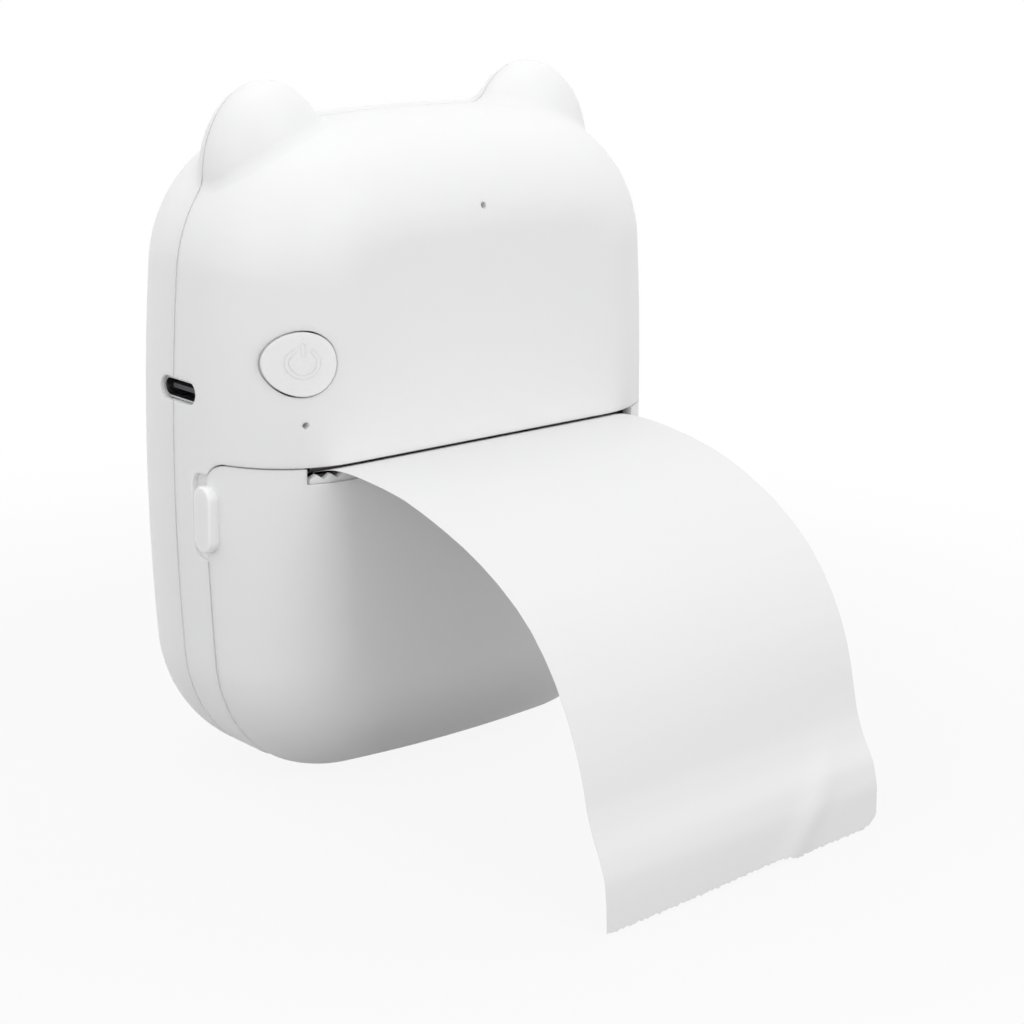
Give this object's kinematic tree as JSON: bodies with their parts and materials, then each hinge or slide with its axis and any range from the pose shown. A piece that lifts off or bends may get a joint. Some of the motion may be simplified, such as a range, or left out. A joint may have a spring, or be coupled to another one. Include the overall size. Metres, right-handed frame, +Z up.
{
  "type": "pocket thermal printer",
  "caption": "Soft rounded pocket thermal printer with ears, a round power button, a hinged paper cover and a strip of paper curling out of its slot.",
  "frame": {"origin": "middle of the flat underside that the printer stands on", "axes": "+X to the right seen from the front, +Y to the rear, +Z up"},
  "size_m": [0.0848, 0.0993, 0.1058],
  "materials": {
    "case_plastic": "fine satin white ABS",
    "button_plastic": "satin white ABS",
    "steel": "plain steel",
    "black_plastic": "black moulded plastic",
    "board": "green solder mask on glass-fibre board",
    "cream_plastic": "natural nylon",
    "lamp": "lamp package",
    "clear_plastic": "clear acrylic",
    "socket_steel": "plated steel",
    "cell_foil": "aluminium laminate pouch",
    "foam": "black foam tape",
    "lead_red": "insulated wire",
    "chassis_plastic": "dark grey ABS",
    "ceramic": "alumina",
    "aluminium": "extruded aluminium",
    "ribbon_film": "amber film",
    "rubber": "black silicone rubber",
    "gear_plastic": "acetal",
    "motor_steel": "zinc-plated steel can",
    "brass": "turned brass",
    "paper": "thermal paper",
    "core_plastic": "plastic core"
  },
  "bodies": {
    "case": {"front_shell": "case_plastic", "rear_shell": "case_plastic", "hinge_pin": "steel", "switch_body": "black_plastic", "main_board": "board", "controller_chip": "black_plastic", "board_connectors": "cream_plastic", "indicator_lamps": "lamp", "light_guides": "clear_plastic", "usb_socket": "socket_steel", "usb_tongue": "black_plastic", "battery_cell": "cell_foil", "battery_pad": "foam", "battery_leads": "lead_red", "motor_leads": "lead_red", "chassis": "chassis_plastic", "head_pivot_pin": "steel", "head_springs": "steel", "head_ribbon": "ribbon_film", "paper_sensor": "black_plastic", "gear_pins": "steel", "motor_body": "motor_steel", "motor_flange": "motor_steel", "motor_screws": "steel", "paper_web": "paper", "case_screws": "steel", "board_screws": "steel", "chassis_screws": "steel"},
    "cover": {"paper_cover": "case_plastic", "tear_bar": "case_plastic", "platen_bushings": "cream_plastic", "paper_strip": "paper"},
    "platen": {"platen_shaft": "steel", "platen_rubber": "rubber", "platen_gear": "gear_plastic"},
    "idler": {"idler_gear": "gear_plastic"},
    "reduction": {"reduction_gear": "gear_plastic"},
    "rotor": {"motor_shaft": "steel", "motor_pinion": "brass"},
    "roll": {"paper_roll": "paper", "roll_core": "core_plastic"},
    "head": {"head_ceramic": "ceramic", "head_heat_sink": "aluminium"},
    "button": {"power_button": "button_plastic"},
    "plunger": {"switch_plunger": "black_plastic"}
  },
  "joints": [
    {"name": "cover_hinge", "type": "hinge", "parent": "case", "child": "cover", "pos_m": [0, -0.0061, 0.0027], "axis": [1, 0, 0], "range_deg": [0, 85]},
    {"name": "roll_spin", "type": "hinge", "parent": "case", "child": "roll", "pos_m": [0, 0.001, 0.0235], "axis": [1, 0, 0], "continuous": true},
    {"name": "platen_spin", "type": "hinge", "parent": "cover", "child": "platen", "pos_m": [0, -0.0113, 0.0448], "axis": [1, 0, 0], "continuous": true},
    {"name": "idler_spin", "type": "hinge", "parent": "case", "child": "idler", "pos_m": [0, -0.0013, 0.04604], "axis": [1, 0, 0], "continuous": true},
    {"name": "reduction_spin", "type": "hinge", "parent": "case", "child": "reduction", "pos_m": [0, 0.00705, 0.043], "axis": [1, 0, 0], "continuous": true},
    {"name": "motor_spin", "type": "hinge", "parent": "case", "child": "rotor", "pos_m": [0, 0.00852, 0.05135], "axis": [1, 0, 0], "continuous": true},
    {"name": "head_tilt", "type": "hinge", "parent": "case", "child": "head", "pos_m": [0, -0.00082, 0.0487], "axis": [-1, 0, 0], "range_deg": [0, 3], "stiffness_Nm_per_rad": 0.5, "deforming": ["head_springs"]},
    {"name": "button_press", "type": "slide", "parent": "case", "child": "button", "axis": [0, 1, 0], "range_m": [0, 0.0006], "stiffness_N_per_m": 1500},
    {"name": "plunger_press", "type": "slide", "parent": "case", "child": "plunger", "axis": [0, 1, 0], "range_m": [0, 0.0006]}
  ],
  "couplings": [
    {"joint": "platen_spin", "follows": "roll_spin", "ratio": 3.5714},
    {"joint": "idler_spin", "follows": "roll_spin", "ratio": -2.381},
    {"joint": "reduction_spin", "follows": "roll_spin", "ratio": 5.102},
    {"joint": "motor_spin", "follows": "roll_spin", "ratio": -16.327},
    {"joint": "plunger_press", "follows": "button_press", "ratio": 1}
  ]
}
